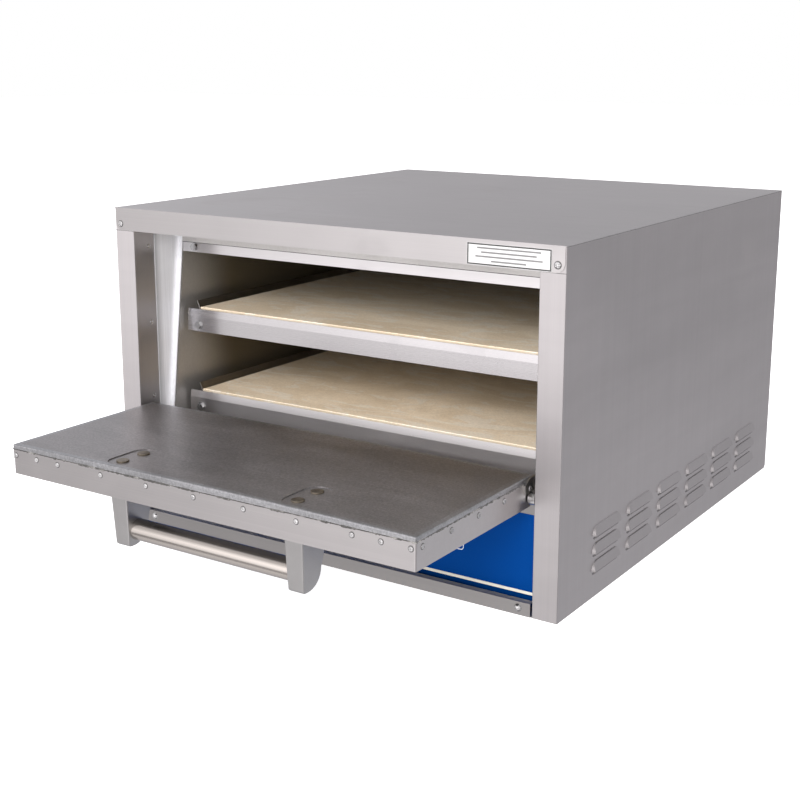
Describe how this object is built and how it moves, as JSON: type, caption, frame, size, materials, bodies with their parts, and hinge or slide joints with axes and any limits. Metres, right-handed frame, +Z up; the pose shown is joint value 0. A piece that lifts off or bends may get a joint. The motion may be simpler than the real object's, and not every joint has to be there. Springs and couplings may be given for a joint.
{
  "type": "countertop pizza oven",
  "caption": "Countertop deck oven in brushed stainless steel with stone baking decks, a fold-down door with a tube handle, louvered sides and a blue control panel.",
  "frame": {"origin": "middle of the cabinet's footprint, on the surface that it stands on, with the door folded down", "axes": "+X to the right as seen from the front, +Y from the door towards the back panel, +Z up"},
  "size_m": [0.6684, 0.949, 0.427],
  "materials": {
    "casing_steel": "brushed stainless sheet with a fine straight grain",
    "liner_steel": "brighter brushed stainless sheet",
    "door_steel": "brushed stainless sheet, the inner face slightly stained",
    "aluminized_steel": "dull aluminised sheet",
    "screw_steel": "bright plated fasteners",
    "handle_bolt_bronze": "dull bronze-coloured bolt heads",
    "handle_casting": "satin cast metal",
    "handle_tube_steel": "warm brushed tube",
    "baking_stone": "pale cream deck stone with a faint mottle",
    "heating_element": "dark oxidised sheath",
    "blue_paint": "bright blue powder coat",
    "bare_strip": "cream strip",
    "black_knob": "black moulded plastic",
    "black_rocker": "black gloss plastic",
    "pilot_amber": "translucent amber lens",
    "control_case": "plated steel case",
    "terminal_plastic": "black moulded plastic",
    "label_white": null,
    "insulation_wool": "mineral wool blanket",
    "seam_gasket": "dark woven seam strip"
  },
  "bodies": {
    "cabinet": {"back_panel": "casing_steel", "base_pan": "casing_steel", "bottom_element": "heating_element", "bottom_front_rail": "casing_steel", "casing_screws": "screw_steel", "chamber_ceiling": "aluminized_steel", "chamber_floor": "aluminized_steel", "chamber_rear_wall": "aluminized_steel", "chamber_wall_left": "aluminized_steel", "chamber_wall_right": "aluminized_steel", "control_panel": "blue_paint", "cord_gland": "terminal_plastic", "deck_rail_bolts": "screw_steel", "deck_rear_angles": "aluminized_steel", "door_stops": "screw_steel", "front_rail_bolts": "screw_steel", "front_sill": "liner_steel", "header_rail": "liner_steel", "hinge_pins": "screw_steel", "insulation_bottom": "insulation_wool", "insulation_rear": "insulation_wool", "insulation_sides": "insulation_wool", "insulation_top": "insulation_wool", "label_plate": "label_white", "lower_deck_rail": "liner_steel", "lower_side_angles": "aluminized_steel", "lower_stone": "baking_stone", "middle_element": "heating_element", "panel_lower_trim": "bare_strip", "pilot_lights": "pilot_amber", "recess_liner_left": "liner_steel", "recess_liner_right": "liner_steel", "recess_rivets": "screw_steel", "side_panel_left": "casing_steel", "side_panel_right": "casing_steel", "switch_housings": "black_knob", "terminal_block": "terminal_plastic", "thermostat": "control_case", "thermostat_bulb": "screw_steel", "timer": "control_case", "top_cover": "casing_steel", "top_element": "heating_element", "upper_deck_rail": "liner_steel", "upper_side_angles": "aluminized_steel", "upper_stone": "baking_stone"},
    "door": {"door_edge_screws": "screw_steel", "door_gasket": "seam_gasket", "door_inner_liner": "door_steel", "door_insulation": "insulation_wool", "door_outer_pan": "door_steel", "handle_bolts": "handle_bolt_bronze", "handle_bracket_left": "handle_casting", "handle_bracket_right": "handle_casting", "handle_tube": "handle_tube_steel", "hinge_arm_left": "door_steel", "hinge_arm_right": "door_steel"},
    "thermostat_dial": {"thermostat_knob": "black_knob"},
    "timer_dial": {"timer_knob": "black_knob"},
    "upper_heat_switch": {"upper_heat_rocker": "black_rocker"},
    "lower_heat_switch": {"lower_heat_rocker": "black_rocker"}
  },
  "joints": [
    {"name": "door_hinge", "type": "hinge", "parent": "cabinet", "child": "door", "pos_m": [0, -0.3275, 0.1394], "axis": [-1, 0, 0], "range_deg": [0, 95.5]},
    {"name": "thermostat_turn", "type": "hinge", "parent": "cabinet", "child": "thermostat_dial", "pos_m": [0.15, -0.3425, 0.07], "axis": [0, 1, 0], "range_deg": [0, 300]},
    {"name": "timer_turn", "type": "hinge", "parent": "cabinet", "child": "timer_dial", "pos_m": [0.04, -0.3425, 0.07], "axis": [0, 1, 0], "range_deg": [0, 300]},
    {"name": "upper_heat_rock", "type": "hinge", "parent": "cabinet", "child": "upper_heat_switch", "pos_m": [-0.15, -0.3305, 0.062], "axis": [-1, 0, 0], "range_deg": [0, 16]},
    {"name": "lower_heat_rock", "type": "hinge", "parent": "cabinet", "child": "lower_heat_switch", "pos_m": [-0.09, -0.3305, 0.062], "axis": [-1, 0, 0], "range_deg": [0, 16]}
  ]
}
